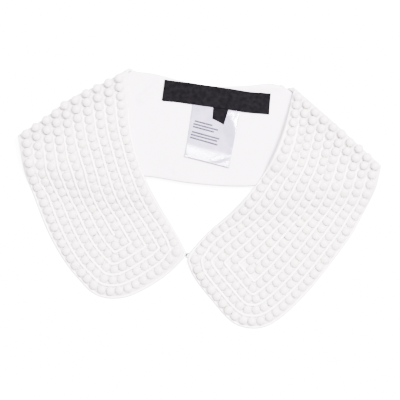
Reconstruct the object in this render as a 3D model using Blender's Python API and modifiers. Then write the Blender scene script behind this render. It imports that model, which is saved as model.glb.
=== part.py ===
"""A beaded shirt collar laid flat: two fronts folded over a back panel, with its labels and hook and eye.

Lengths are millimetres and angles radians, and the meshes are made in metres.
X points to the right of the collar as it is seen from above, Y to the back neck and Z up.
The origin is the middle of the collar's plan, on the surface that it lies on.
"""

import math

import bpy
import numpy as np
from mathutils.geometry import delaunay_2d_cdt

METRE = 0.001
PLAN_MIDDLE = (-0.33, 0.27)  # of the photographed outline's frame, which the numbers below are in

# Cloth
WALL = 1.2  # outer cloth and lining of a front, as one wall
SHELL = 1.2  # outer cloth of the back
LINING = 1.0
TAPE = 1.0  # a label's thickness
SEAM = 0.3  # gap between neighbouring pieces

# Beads and cords
BEAD_RADIUS = 3.0
BEAD_RISE = 5.6  # top of a bead over the cloth
BEAD_PITCH = 6.6
RING_RADIUS = 2.6  # the ring of points that gives a raised bead its sides
RING_POINTS = 6
CORD_RISE = 2.0
CORD_STEP = 3.3
CORD_TURN = 0.7  # angle between a cord's points round the roll
VALLEY_RISE = 1.6  # between two beads of a row
CLEAR_OF_BEAD = 3.1  # nearest that other points come to a bead's middle
ROWS = 5  # nested rows on each front
ROW_PITCH = 8.1
SPINE_END = 8.0  # from the end of the middle cord to the innermost row's turn
SPREAD_LENGTH = 45.0  # the rows spread evenly across the panel over this distance from the fold
ROW_SLANT = {"left": 0.48, "right": 0.44}  # of the rows to the fold's normal, as a tangent
EDGE_REACH = 60.0  # the edges run straight this far past the fold, to lay out the rows

# Heights of the layers where the fronts lie on the back
BEADS_TOP = BEAD_RISE
SHELL_TOP = BEADS_TOP + SHELL
LINING_BOTTOM = SHELL_TOP + SEAM
LINING_TOP = LINING_BOTTOM + LINING
FRONT_REST = LINING_TOP + SEAM

# Drape of the fronts
DROP_LENGTH = 30.0  # from the back's outer edge to where a front lies on the surface
DROP_START = 3.0
FOLD_LENGTH = 25.0  # from the fold to where a front lies on the back
CORNER = (-10.1, -42.2)  # the centre front, where the hook meets the eye
CORNER_LIFT = 3.1  # the corners lie on the hook and the eye
CORNER_FLAT = 4.0
CORNER_REACH = 14.0

# Points of the fronts' meshes
EDGE_STEP = 5.0
INSIDE_STEP = 6.5
ROLL_TURN = 0.6  # angle between the underside's points round the roll
ROLL_STEP = 5.0  # between the underside's points along the roll

# Where each front's cloth turns over: ends of the cloth's outermost line, the roll's middle radius there,
# and the middle, reach and height of the line's outward bow
FOLDS = {
    "left": {"outer": (-135.0, 48.8), "neck": (-55.1, 97.1), "radii": (2.0, 2.0), "bow": (47.0, 34.0, 3.0)},
    "right": {"outer": (134.1, 26.8), "neck": (66.8, 87.0), "radii": (2.0, 3.0), "bow": (45.0, 45.0, 0.4)},
}

# Outlines of the fronts from the fold: round the tip to the centre front, and back up the neck edge
TIP_EDGES = {
    "left": [
        (-135.9, 43.0), (-132.0, 20.0), (-126.0, 3.8), (-114.0, -26.3), (-102.0, -47.3),
        (-90.0, -62.3), (-80.5, -71.2), (-70.0, -74.9), (-56.3, -74.3), (-42.5, -68.6),
        (-25.5, -57.8), (-15.8, -48.8), (-11.5, -43.9),
    ],
    "right": [
        (134.6, 18.5), (132.6, 9.8), (124.5, -8.3), (114.8, -26.3), (102.0, -44.3),
        (80.3, -71.3), (61.5, -89.3), (50.5, -96.0), (39.0, -97.7), (25.5, -93.8),
        (8.3, -75.8), (-5.3, -57.8), (-9.8, -46.6),
    ],
}
NECK_EDGES = {
    "left": [
        (-10.3, -40.0), (-16.5, -28.0), (-30.8, -3.8), (-42.8, 20.3), (-50.6, 47.3),
        (-53.2, 74.5), (-53.4, 88.2),
    ],
    "right": [
        (-8.4, -40.8), (4.5, -26.3), (24.8, -8.3), (41.6, 10.5), (55.5, 33.8),
        (63.0, 53.3), (66.6, 66.8), (69.2, 77.5),
    ],
}

# Plain cloth outside the beads: share of the way along each edge above, and width
TIP_MARGINS = {
    "left": [(0.0, 2.4), (0.35, 2.3), (0.5, 1.3), (0.62, 1.7), (0.85, 3.1), (1.0, 2.4)],
    "right": [(0.0, 0.8), (0.3, 1.4), (0.6, 2.2), (0.8, 1.2), (1.0, 1.0)],
}
NECK_MARGINS = {
    "left": [(0.0, 0.6), (0.65, 0.6), (0.9, 2.6), (1.0, 3.4)],
    "right": [(0.0, 0.6), (1.0, 0.6)],
}
PLAIN_MARGIN = 1.2  # a margin this wide shows its own flat cloth

# How far past the middle of the fold each row has its bead, from the outer edge to the neck edge
FOLD_BEADS = {
    "left": (-0.1, 0.1, 0.1, 0.0, 0.3, -0.5, 0.1, 0.3, 0.2, -0.2),
    "right": (-0.8, 0.1, 0.3, -0.3, 0.1, -0.2, -0.3, -0.1, -0.2, -0.2),
}
ROLL_CLEAR = 0.9  # angle from a bead on the roll to the bare cloth past it
ROLL_LAST = 2.7
CORD_LAST = 2.3  # angle round the roll where the cords end

# Edges of the back between the folds
BACK_NECK_EDGE = [
    (-48.0, 96.0), (-36.0, 94.5), (-12.0, 88.5), (12.0, 84.8), (36.0, 85.3), (54.0, 86.6),
]
BACK_OUTER_EDGE = [
    (-120.0, 39.0), (-105.0, 30.4), (-82.5, 21.8), (-60.0, 18.2), (-36.0, 16.2), (-12.0, 12.2),
    (12.0, 9.8), (33.0, 9.2), (52.0, 10.6), (75.0, 14.6), (105.0, 21.5),
]
SCALLOP_DEPTH = 1.8  # of the hollows between the back's edge beads
SCALLOP_POINTS = 4  # for each bead along the back's edges
# Profile of the back's edge from below: height, distance inside the cloth's edge, and past the seam
BACK_PROFILE = [(0.0, 2.8, 0.8), (2.7, 1.2, 2.2), (4.7, 1.9, 1.2), (5.1, 2.4, -0.4)]
CORNER_EASE = 20.0  # over which an outline's shift eases from its corner's to its side's
LINING_INSET = 0.6
LINING_STEP = 8.0
RIDGE_STEP = 4.0

# Soft ridges in the lining and in the fronts: from, to, half width and height
LINING_RIDGES = [
    ((-31.0, 88.0), (-44.0, 75.0), 5.5, 1.5),
    ((-12.5, 32.0), (-19.0, 21.0), 3.0, 1.0),
    ((40.0, 84.0), (60.0, 84.0), 5.0, 1.2),
]
FRONT_RIDGES = [
    ((66.0, 72.0), (56.0, 34.0), 20.0, 7.5),
]
RIDGE_CLEAR = 1.4  # a front passes over the lining's ridges at this multiple of their height

# Labels, by their plan corners or middle line
LABEL_STEP = 3.6
BRAND_LINE = [(-26.0, 81.6), (-5.3, 78.8), (21.8, 74.9), (36.0, 72.6), (50.6, 71.4)]
BRAND_WIDTH = 14.2
BRAND_LIFT = 1.4  # over the care label's sewn end
BRAND_LIFT_SPAN = (-6.5, 32.5)
BRAND_LIFT_SLOPE = 7.0
CARE_CORNERS = [(-11.6, 32.0), (21.8, 23.4), (31.2, 72.0), (-5.0, 76.5)]
CARE_CURL = 2.0  # how far the care label's free end turns up
CARE_CURL_REACH = 10.0
SIZE_CORNERS = [(9.3, 60.6), (17.8, 57.0), (21.2, 67.2), (10.6, 68.9)]

# Hook and eye, in a frame that points from the left corner to the right one
WIRE_RADIUS = 0.3
HOOK_HEADING = math.radians(-18)
FOOT_RADIUS = 1.1  # the sewn loops at the ends of the wire
FOOT_POINTS = 8
WIRE_FLOOR = WIRE_RADIUS + 0.02
HOOK_TIP = -0.2  # middle of the hook's turned-up tip, round the eye's bar
HOOK_HALF = 0.5  # from the middle of the hook to its wires
HOOK_FOOT = -7.5
BILL_LENGTH = 3.0
EYE_HALF = 1.6  # from the middle of the eye to its arms
EYE_FOOT = 5.5
BAR_HEIGHT = WIRE_FLOOR + 2 * WIRE_RADIUS + SEAM
BILL_HEIGHT = BAR_HEIGHT + 2 * WIRE_RADIUS + SEAM

# Colours as linear red, green and blue, with roughness and metallic value
FINISHES = {
    "beads": ((0.86, 0.85, 0.84), 0.35, 0.0),
    "lining": ((0.85, 0.84, 0.86), 0.85, 0.0),
    "black_tape": ((0.03, 0.028, 0.033), 0.75, 0.0),
    "satin": ((0.83, 0.83, 0.86), 0.4, 0.0),
    "wire": ((0.12, 0.12, 0.12), 0.35, 1.0),
}


def blend(a, b, low, high, at):
    return ((high - at) * a + (at - low) * b) / (high - low)


def smooth_curve(points, step):
    """Points every step along a centripetal Catmull-Rom curve through the given points."""
    points = np.asarray(points, float)
    padded = np.vstack([2 * points[0] - points[1], points, 2 * points[-1] - points[-2]])
    pieces = []
    for four in zip(padded, padded[1:], padded[2:], padded[3:]):
        gaps = [math.sqrt(np.linalg.norm(q - p)) for p, q in zip(four, four[1:])]
        knots = np.concatenate([[0.0], np.cumsum(gaps)])
        at = np.linspace(knots[1], knots[2], 24, endpoint=False)[:, None]
        first = [blend(four[i], four[i + 1], knots[i], knots[i + 1], at) for i in range(3)]
        second = [blend(first[i], first[i + 1], knots[i], knots[i + 2], at) for i in range(2)]
        pieces.append(blend(second[0], second[1], knots[1], knots[2], at))
    return resampled(np.vstack(pieces + [points[-1:]]), step)


def lengths_along(path):
    """Distance in plan from the path's start to each of its points."""
    steps = np.linalg.norm(np.diff(path[:, :2], axis=0), axis=1)
    return np.concatenate([[0.0], np.cumsum(steps)])


def at_stations(path, stations, along=None):
    along = lengths_along(path) if along is None else along
    return np.stack([np.interp(stations, along, column) for column in path.T], axis=1)


def resampled(path, step):
    """The path with points an even distance apart, as near to step as its length allows."""
    length = lengths_along(path)[-1]
    return at_stations(path, np.linspace(0.0, length, max(2, round(length / step) + 1)))


def ease(x):
    """0 to 1, level at both ends."""
    x = np.clip(x, 0.0, 1.0)
    return x * x * (3.0 - 2.0 * x)


def left_of(path):
    """Unit vectors to the left of a plan path at each of its points."""
    along = np.gradient(path, axis=0)
    along /= np.linalg.norm(along, axis=1)[:, None]
    return np.stack([-along[:, 1], along[:, 0]], axis=1)


def distances(points, path):
    """From each point to the nearest place on the path."""
    start, span = path[:-1], np.diff(path, axis=0)
    offset = points[:, None, :] - start[None]
    share = np.clip((offset * span).sum(-1) / (span * span).sum(-1), 0.0, 1.0)
    return np.linalg.norm(offset - share[..., None] * span, axis=-1).min(axis=1)


def extended(path, length):
    """The path with a straight start of this length added, in the direction it has there."""
    heading = (path[0] - path[3]) / np.linalg.norm(path[0] - path[3])
    reach = np.arange(length, 0.0, -0.5)
    return np.vstack([path[0] + np.outer(reach, heading), path])


def marched(path, pitch):
    """The path's points that are each a straight pitch from the one before, and the steps to its end."""
    marks = [0]
    for i, point in enumerate(path):
        if math.dist(point, path[marks[-1]]) >= pitch:
            marks.append(i)
    return marks, len(marks) - 1 + math.dist(path[-1], path[marks[-1]]) / pitch


def evenly_spaced(path, pitch):
    """Points a straight pitch apart along the path, the pitch eased so that one falls on its end."""
    fine = resampled(path, 0.05)
    steps = round(marched(fine, pitch)[1])
    low, high = 0.9 * pitch, 1.1 * pitch
    for _ in range(14):
        middle = (low + high) / 2
        if marched(fine, middle)[1] > steps:
            low = middle
        else:
            high = middle
    marks = marched(fine, high)[0]
    return np.vstack([fine[marks[:steps]], fine[-1:]])


def between(a, b, excess_a, excess_b):
    """Where excess is zero on the way from a to b."""
    return a + (b - a) * excess_a / (excess_a - excess_b)


def trimmed(path, excess):
    """The middle stretch of the path, between the places where excess passes zero."""
    kept = np.flatnonzero(excess < 0)
    first, last = kept[0], kept[-1]
    pieces = [path[first : last + 1]]
    if first > 0:
        pieces.insert(0, between(path[first], path[first - 1], excess[first], excess[first - 1]))
    if last < len(path) - 1:
        pieces.append(between(path[last], path[last + 1], excess[last], excess[last + 1]))
    return np.vstack(pieces)


def inside(points, outline):
    """Which plan points lie inside the closed outline."""
    x, y = points[:, None, 0], points[:, None, 1]
    a, b = outline, np.roll(outline, -1, axis=0)
    spans = (a[:, 1] > y) != (b[:, 1] > y)
    rise = np.where(b[:, 1] == a[:, 1], 1.0, b[:, 1] - a[:, 1])
    crossing = a[:, 0] + (y - a[:, 1]) * (b[:, 0] - a[:, 0]) / rise
    return (spans & (x < crossing)).sum(axis=1) % 2 == 1


def lattice(outline, step, clear):
    """Plan points on staggered lines inside the outline, this far clear of it."""
    low, high = outline.min(axis=0), outline.max(axis=0)
    lines = np.arange(low[1], high[1], step * math.sqrt(3) / 2)
    points = np.array([
        (x, y)
        for i, y in enumerate(lines)
        for x in np.arange(low[0] + (i % 2) * step / 2, high[0], step)
    ])
    points = points[inside(points, outline)]
    return points[distances(points, np.vstack([outline, outline[:1]])) > clear]


def anticlockwise(outline):
    """The closed outline, turned round if it runs clockwise."""
    x, y = outline.T
    area = (x * np.roll(y, -1) - np.roll(x, -1) * y).sum()
    return outline if area > 0 else outline[::-1]


def triangles(plan, loop_count):
    """Triangles between plan points, inside the loop that the first of them make."""
    loop = [(i, (i + 1) % loop_count) for i in range(loop_count)]
    made = delaunay_2d_cdt([tuple(point) for point in plan], loop, [], 1, 1e-4)
    faces, sources = made[2], made[3]
    return [tuple(sources[i][0] for i in face) for face in faces]


def ridge_rise(plan, ridges):
    """Height of soft ridges at plan points."""
    rise = np.zeros(len(plan))
    for start, end, half_width, height in ridges:
        start, end = np.array(start), np.array(end)
        length = np.linalg.norm(end - start)
        along = (end - start) / length
        t = (plan - start) @ along
        aside = (plan - start) @ np.array([-along[1], along[0]])
        past = np.maximum(np.maximum(-t, t - length), 0.0)
        rise += height * (1.0 - ease(np.hypot(aside, past) / half_width))
    return rise


def lining_rise(plan):
    return ridge_rise(plan, LINING_RIDGES)


def front_rest(plan):
    """Height of a front's lining side away from its fold: on the back, and past the back on the surface."""
    edge = smooth_curve(BACK_OUTER_EDGE, 4.0)
    below_edge = np.interp(plan[:, 0], edge[:, 0], edge[:, 1]) - plan[:, 1]
    resting = 1.0 - ease((below_edge - DROP_START) / DROP_LENGTH)
    from_corner = np.linalg.norm(plan - np.array(CORNER), axis=1)
    corner = 1.0 - ease((from_corner - CORNER_FLAT) / CORNER_REACH)
    ridges = RIDGE_CLEAR * lining_rise(plan) + ridge_rise(plan, FRONT_RIDGES)
    return (FRONT_REST + ridges) * resting + CORNER_LIFT * corner


class Front:
    """One front panel. Its flat pattern lies in the plan, and what is past the fold wraps round the roll."""

    def __init__(self, side):
        fold = FOLDS[side]
        outer, neck = np.array(fold["outer"]), np.array(fold["neck"])
        along = (neck - outer) / np.linalg.norm(neck - outer)
        out = np.array([-along[1], along[0]]) * np.sign(along[0])
        self.side = side
        self.radii, self.bow = fold["radii"], fold["bow"]
        self.start = outer - out * (self.radii[0] + WALL / 2)
        end = neck - out * (self.radii[1] + WALL / 2)
        self.length = np.linalg.norm(end - self.start)
        self.along = (end - self.start) / self.length
        self.out = np.array([-self.along[1], self.along[0]]) * np.sign(self.along[0])
        self.inward = 1.0 if side == "left" else -1.0
        self.edge, margins = self.edge_and_margins()
        self.field = self.offset(self.edge, margins)

    def radius(self, t):
        return np.interp(t, (0.0, self.length), self.radii)

    def bowed(self, t):
        """How far the fold bows out from the straight line between its ends."""
        middle, reach, height = self.bow
        return height * (1.0 - ease(np.abs(t - middle) / reach))

    def to_fold(self, plan):
        """Place along the fold, and distance past the middle of its roll, of plan points."""
        away = plan - self.start
        t = away @ self.along
        return t, away @ self.out - self.bowed(t)

    def from_fold(self, t, s):
        past = s + self.bowed(t)
        return self.start + t[:, None] * self.along + past[:, None] * self.out

    def roll_height(self, t):
        return BEADS_TOP + SHELL / 2 + self.radius(t)

    def underside(self, plan):
        """Where points of the flat pattern lie on the panel's lining side."""
        t, s = self.to_fold(plan)
        radius = self.radius(t)
        inner = radius - WALL / 2
        angle = np.clip(s, 0.0, None) / radius
        turned = self.from_fold(t, np.where(s > 0, inner * np.sin(angle), s))
        folded = self.roll_height(t) + inner * np.cos(angle)
        rest = front_rest(plan)
        near = 1.0 - ease(-s / FOLD_LENGTH)
        height = np.where(s > 0, folded, rest + (folded - rest) * near)
        return np.column_stack([turned, height])

    def frames(self, plan, toward):
        """Underside, unit vector along the plan direction, and unit normal, at each plan point."""
        nudge = 0.01
        aside = np.stack([-toward[:, 1], toward[:, 0]], axis=1)
        ahead = self.underside(plan + nudge * toward) - self.underside(plan - nudge * toward)
        across = self.underside(plan + nudge * aside) - self.underside(plan - nudge * aside)
        normal = np.cross(ahead, across)
        ahead /= np.linalg.norm(ahead, axis=1)[:, None]
        normal /= np.linalg.norm(normal, axis=1)[:, None]
        return self.underside(plan), ahead, normal

    def raised(self, plan, rise):
        """Places over points of the flat pattern, this far out from the lining side."""
        toward = np.tile([1.0, 0.0], (len(plan), 1))
        below, _, normal = self.frames(plan, toward)
        return below + normal * rise

    def unrolled(self, places):
        """Plan of places on the bead side, with the roll laid flat at the height of its cords."""
        t, s = self.to_fold(places[:, :2])
        up = places[:, 2] - self.roll_height(t)
        turn = np.arctan2(s, up)
        under = (up < 0) & (s > -FOLD_LENGTH / 5)
        turn = np.where(under & (turn < 0), turn + 2 * np.pi, turn)
        laid = (self.radius(t) + CORD_RISE) * turn
        return self.from_fold(t, np.where((s > 0) | under, laid, s))

    def edge_and_margins(self):
        """The panel's edge in the flat pattern, carried on past the fold, and the plain margin along it."""
        self.tip = extended(smooth_curve(TIP_EDGES[self.side], 0.5), EDGE_REACH)
        self.neck = extended(smooth_curve(NECK_EDGES[self.side], 0.5)[::-1], EDGE_REACH)[::-1]
        along = lengths_along(self.tip)
        tip_share = (along - EDGE_REACH) / (along[-1] - EDGE_REACH)
        along = lengths_along(self.neck)
        neck_share = along / (along[-1] - EDGE_REACH)
        tip_margins = np.interp(tip_share, *np.transpose(TIP_MARGINS[self.side]))
        neck_margins = np.interp(neck_share, *np.transpose(NECK_MARGINS[self.side]))
        return np.vstack([self.tip, self.neck]), np.concatenate([tip_margins, neck_margins])

    def offset(self, path, distance):
        """The path moved towards the panel's middle, without the loops that tight turns leave."""
        distance = np.broadcast_to(distance, len(path))
        moved = path + left_of(path) * self.inward * distance[:, None]
        clear = distances(moved, path) > distance - 0.02
        return resampled(moved[clear], 0.5)

    def legs(self, path):
        """Place along the fold and past it of the path's points, and which of them are on its second leg."""
        t, s = self.to_fold(path)
        return t, s, np.arange(len(path)) > np.argmin(s)

    def leg_place(self, fraction, s):
        """Place along the fold of the leg that is this fraction of the way across the panel."""
        t, field_s, second = self.legs(self.field)
        outer = np.interp(0.0, field_s[~second][::-1], t[~second][::-1])
        neck = np.interp(0.0, field_s[second], t[second])
        return outer + fraction * (neck - outer) + ROW_SLANT[self.side] * s

    def spread(self, path, fraction):
        """The path with its legs spread evenly across the panel near the fold."""
        t, s, second = self.legs(path)
        target = self.leg_place(np.where(second, 1.0 - fraction, fraction), s)
        weight = 1.0 - ease(-s / SPREAD_LENGTH)
        return self.from_fold(t + weight * (target - t), s)

    def row(self, k):
        return self.spread(self.offset(self.field, (k + 0.5) * ROW_PITCH), (k + 0.5) / (2 * ROWS))

    def bead_rows(self):
        """Middles of the beads of each nested row, in the flat pattern."""
        rows = []
        for k in range(ROWS):
            path = self.row(k)
            _, s, second = self.legs(path)
            past = np.where(second, FOLD_BEADS[self.side][-1 - k], FOLD_BEADS[self.side][k])
            rows.append(evenly_spaced(trimmed(path, s - past), BEAD_PITCH))
        return rows

    def cord_lines(self):
        """Lines of the cords between the rows, and of the one up the panel's middle."""
        lines = []
        for k in range(1, ROWS):
            path = self.spread(self.offset(self.field, k * ROW_PITCH), k / (2 * ROWS))
            lines.append(self.up_to_turn(path, CORD_LAST))
        innermost = self.row(ROWS - 1)
        second = self.legs(innermost)[2]
        one, other = resampled(innermost[~second], 0.5), resampled(innermost[second][::-1], 0.5)
        count = min(len(one), len(other))
        spine = (at_shares(one, count) + at_shares(other, count)) / 2
        kept = lengths_along(spine)[-1] - lengths_along(spine) > SPINE_END
        lines.append(self.up_to_turn(spine[kept], CORD_LAST))
        return lines

    def up_to_turn(self, path, turn):
        t, s = self.to_fold(path)
        return trimmed(path, s - turn * self.radius(t))

    def stepped(self, path, flat_step, roll_step):
        """Points along the path, at one step on the flat and another on the roll."""
        _, s = self.to_fold(path)
        steps = np.linalg.norm(np.diff(path, axis=0), axis=1)
        along = np.cumsum(steps / np.where(s[1:] > 0, roll_step, flat_step))
        along = np.concatenate([[0.0], along])
        return at_stations(path, np.linspace(0.0, along[-1], round(along[-1]) + 1), along)

    def outline(self):
        """The panel's closed outline in the flat pattern, seam line included, anticlockwise."""
        roll_step = EDGE_STEP / 4
        tip = self.stepped(self.up_to_turn(self.tip, np.pi), EDGE_STEP, roll_step)
        neck = self.stepped(self.up_to_turn(self.neck, np.pi), EDGE_STEP, roll_step)
        first, last = self.to_fold(np.vstack([neck[-1], tip[0]]))[0]
        t = np.linspace(first, last, round(abs(last - first) / EDGE_STEP) + 1)[1:-1]
        return anticlockwise(np.vstack([tip, neck, self.from_fold(t, np.pi * self.radius(t))]))

    def seam(self):
        """The seam with the back in plan, from its outer end to its neck end."""
        ends = np.vstack([self.up_to_turn(self.tip, np.pi)[0], self.up_to_turn(self.neck, np.pi)[-1]])
        return self.from_fold(np.linspace(*self.to_fold(ends)[0], 60), 0.0)

    def beads(self, row):
        """Points that raise one row's beads: the tops, the rings round them and the valleys between."""
        toward = np.gradient(row, axis=0)
        toward /= np.linalg.norm(toward, axis=1)[:, None]
        below, ahead, normal = self.frames(row, toward)
        across = np.cross(normal, ahead)
        tops = below + normal * (WALL + BEAD_RISE)
        shoulder = math.sqrt(BEAD_RADIUS**2 - RING_RADIUS**2)
        middles = below + normal * (WALL + BEAD_RISE - BEAD_RADIUS + shoulder)
        rings = [
            middles + RING_RADIUS * (math.cos(turn) * ahead + math.sin(turn) * across)
            for turn in (np.arange(RING_POINTS) + 0.5) * 2 * np.pi / RING_POINTS
        ]
        valleys = self.raised((row[1:] + row[:-1]) / 2, WALL + VALLEY_RISE)
        return tops, np.vstack(rings), valleys

    def bare_roll(self):
        """Points of the bare cloth on the roll, past the last bead of each row."""
        points = []
        for k, past in enumerate(FOLD_BEADS[self.side]):
            fraction = (k + 0.5) / (2 * ROWS)
            radius = self.radius(self.leg_place(fraction, 0.0))
            first = past / radius + ROLL_CLEAR
            count = math.ceil((ROLL_LAST - first) / ROLL_TURN) + 1
            s = radius * np.linspace(first, ROLL_LAST, count)
            points.append(self.from_fold(self.leg_place(fraction, s), s))
        return np.vstack(points)

    def plain_margin(self):
        """Points along the beads' outer edge, where the plain margin is wide."""
        line = self.stepped(self.up_to_turn(self.field, ROLL_LAST), EDGE_STEP, EDGE_STEP / 4)
        return line[distances(line, self.edge) > PLAIN_MARGIN]

    def mesh(self):
        """Vertices and faces of the whole panel."""
        loop = self.outline()
        rows = [self.beads(row) for row in self.bead_rows()]
        tops, rings, valleys = (np.vstack(group) for group in zip(*rows))
        cords = [self.stepped(line, CORD_STEP, CORD_TURN * self.radii[0]) for line in self.cord_lines()]
        others = np.vstack([
            valleys,
            self.raised(np.vstack(cords), WALL + CORD_RISE),
            self.raised(np.vstack([self.plain_margin(), self.bare_roll()]), WALL),
        ])
        rim = self.raised(loop, WALL)
        tops_plan = self.unrolled(tops)
        others = others[far_from(self.unrolled(others), tops_plan, CLEAR_OF_BEAD)]
        upper = np.vstack([rim, tops, rings, others])
        upper_faces = triangles(self.unrolled(upper), len(loop))

        flat = lattice(loop, INSIDE_STEP, INSIDE_STEP / 2)
        flat = flat[self.to_fold(flat)[1] < -2.0]
        turns = np.arange(0.0, np.pi - ROLL_TURN / 2, ROLL_TURN)
        along = np.arange(-FOLD_LENGTH, self.length + FOLD_LENGTH, ROLL_STEP)
        rolled = np.vstack([self.from_fold(along, turn * self.radius(along)) for turn in turns])
        rolled = rolled[inside(rolled, loop)]
        rolled = rolled[distances(rolled, closed(loop)) > ROLL_TURN * self.radii[0]]
        lower_plan = np.vstack([loop, flat, rolled])
        lower_faces = triangles(lower_plan, len(loop))
        return walled(upper, upper_faces, self.underside(lower_plan), lower_faces, len(loop))


def closed(outline):
    return np.vstack([outline, outline[:1]])


def at_shares(path, count):
    return at_stations(path, np.linspace(0.0, lengths_along(path)[-1], count))


def far_from(points, others, distance):
    """Which points lie further than this from all the others."""
    return np.linalg.norm(points[:, None] - others[None], axis=-1).min(axis=1) > distance


def walled(upper, upper_faces, lower, lower_faces, rim_count):
    """One closed mesh of an upper and a lower surface whose first points are their rims."""
    base = len(upper)
    faces = list(upper_faces)
    faces += [tuple(base + i for i in reversed(face)) for face in lower_faces]
    for i in range(rim_count):
        j = (i + 1) % rim_count
        faces.append((i, base + i, base + j, j))
    return np.vstack([upper, lower]), faces


def corner_shift(before, after):
    """How far a corner moves when the sides before and after it move inward by their distances."""
    normals = np.array([before[1][-1], after[1][0]])
    return np.linalg.solve(normals, [before[2], after[2]])


class Back:
    """The back panel's outline in plan, between the seams of the two fronts."""

    def __init__(self, left, right):
        left_seam, right_seam = left.seam(), right.seam()
        outer = smooth_curve([left_seam[0], *BACK_OUTER_EDGE, right_seam[0]], 1.0)
        neck = smooth_curve([left_seam[-1], *BACK_NECK_EDGE, right_seam[-1]], 1.0)
        self.segments = [(outer, False), (right_seam, True), (neck[::-1], False), (left_seam[::-1], True)]

    def outline(self, inset, past, points_per_bead=SCALLOP_POINTS, hollow=0.0, corner=0.0):
        """The outline this far inside the edges and past the seams, its corners cut this far from them.

        The hollow is the depth of the scallops between its beads.
        """
        sides = []
        for path, is_seam in self.segments:
            length = lengths_along(path)[-1]
            count = round(length / BEAD_PITCH) * points_per_bead + 1
            points = at_stations(path, np.linspace(corner, length - corner, count))
            sides.append((points, left_of(points), -past if is_seam else inset))
        pieces = []
        for i, (points, inward, distance) in enumerate(sides):
            start_shift = corner_shift(sides[i - 1], sides[i])
            end_shift = corner_shift(sides[i], sides[(i + 1) % 4])
            at_start = 1.0 - ease(np.linalg.norm(points - points[0], axis=1) / CORNER_EASE)
            at_end = 1.0 - ease(np.linalg.norm(points - points[-1], axis=1) / CORNER_EASE)
            phase = 2 * np.pi * np.arange(len(points)) / points_per_bead
            inside_by = distance * (1.0 - at_start - at_end) + hollow * (1.0 + np.cos(phase)) / 2
            moved = points + inward * inside_by[:, None]
            moved += np.outer(at_start, start_shift) + np.outer(at_end, end_shift)
            pieces.append(moved[:-1])
        return np.vstack(pieces)

    def shell(self):
        """Outer cloth over one flat-bottomed layer of beads, as vertices and faces."""
        levels = [
            (z, self.outline(inset, past, hollow=SCALLOP_DEPTH, corner=BEAD_PITCH))
            for z, inset, past in BACK_PROFILE
        ]
        for z in (BEADS_TOP, SHELL_TOP):
            levels.append((z, self.outline(0.0, -SEAM)))
        count = len(levels[0][1])
        vertices = np.vstack([np.column_stack([ring, np.full(count, z)]) for z, ring in levels])
        top = (len(levels) - 1) * count
        faces = [tuple(reversed(face)) for face in triangles(levels[0][1], count)]
        faces += [tuple(top + i for i in face) for face in triangles(levels[-1][1], count)]
        for level in range(len(levels) - 1):
            for i in range(count):
                low = (level * count + i, level * count + (i + 1) % count)
                faces.append((*low, low[1] + count, low[0] + count))
        return vertices, faces


def lining_surface(back):
    """The lining's under surface, fine where it has ridges."""
    outline = back.outline(LINING_INSET, -SEAM, points_per_bead=1)
    coarse = lattice(outline, LINING_STEP, LINING_STEP / 2)
    fine = lattice(outline, RIDGE_STEP, RIDGE_STEP / 2)
    plan = np.vstack([outline, coarse[lining_rise(coarse) == 0], fine[lining_rise(fine) > 0]])
    heights = LINING_BOTTOM + lining_rise(plan)
    return np.column_stack([plan, heights]), triangles(plan, len(outline))


def care_rise(plan):
    """Height of the care label's curled free end."""
    start, end = np.array(CARE_CORNERS[0]), np.array(CARE_CORNERS[1])
    along = (end - start) / np.linalg.norm(end - start)
    away = (plan - start) @ np.array([-along[1], along[0]])
    return CARE_CURL * np.clip(1.0 - away / CARE_CURL_REACH, 0.0, 1.0) ** 1.3


def brand_rise(plan):
    """Height of the brand label where it crosses the care label."""
    low, high = BRAND_LIFT_SPAN
    outside = np.maximum(np.maximum(low - plan[:, 0], plan[:, 0] - high), 0.0)
    return BRAND_LIFT * (1.0 - ease(outside / BRAND_LIFT_SLOPE))


def label_surface(outline, rise):
    """A label's under surface, at a height over the lining that rise gives for plan points."""
    outline = anticlockwise(outline)
    plan = np.vstack([outline, lattice(outline, LABEL_STEP, LABEL_STEP / 2)])
    heights = LINING_TOP + SEAM + lining_rise(plan) + rise(plan)
    return np.column_stack([plan, heights]), triangles(plan, len(outline))


def polygon(corners, step):
    """A closed outline through the corners, with points about a step apart along its sides."""
    corners = np.array(corners)
    sides = [resampled(np.vstack([a, b]), step)[:-1] for a, b in zip(corners, np.roll(corners, -1, axis=0))]
    return np.vstack(sides)


def brand_outline():
    line = smooth_curve(BRAND_LINE, LABEL_STEP)
    aside = left_of(line) * BRAND_WIDTH / 2
    return polygon(np.vstack([line + aside, (line - aside)[::-1]]), LABEL_STEP)


def arc(middle, radius, first, last, count):
    turns = np.linspace(first, last, count)
    return np.array(middle) + radius * np.stack([np.cos(turns), np.sin(turns)], axis=1)


def at_height(plan, z):
    return np.column_stack([plan, np.full(len(plan), z)])


def foot(middle):
    """A sewn loop of wire on the surface, which ends heading along the frame's first axis."""
    return at_height(arc(middle, FOOT_RADIUS, -2.0 * np.pi, -0.5 * np.pi, FOOT_POINTS), WIRE_FLOOR)


def mirrored_wire(half):
    """A wire's first half, and the same back again on the frame's other side."""
    return np.vstack([half, half[::-1] * np.array([1.0, -1.0, 1.0])])


def hook_path():
    """One foot, the shank, the tip turned up and back, and the bill's end."""
    tip = arc((HOOK_TIP, BAR_HEIGHT), BILL_HEIGHT - BAR_HEIGHT, -np.pi / 2, np.pi / 2, 7)
    tip = np.column_stack([tip[:, 0], np.full(len(tip), HOOK_HALF), tip[:, 1]])
    end = at_height(arc((HOOK_TIP - BILL_LENGTH, 0.0), HOOK_HALF, np.pi / 2, 0.9 * np.pi, 3), BILL_HEIGHT)
    return mirrored_wire(np.vstack([foot((HOOK_FOOT, HOOK_HALF + FOOT_RADIUS)), tip, end]))


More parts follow.
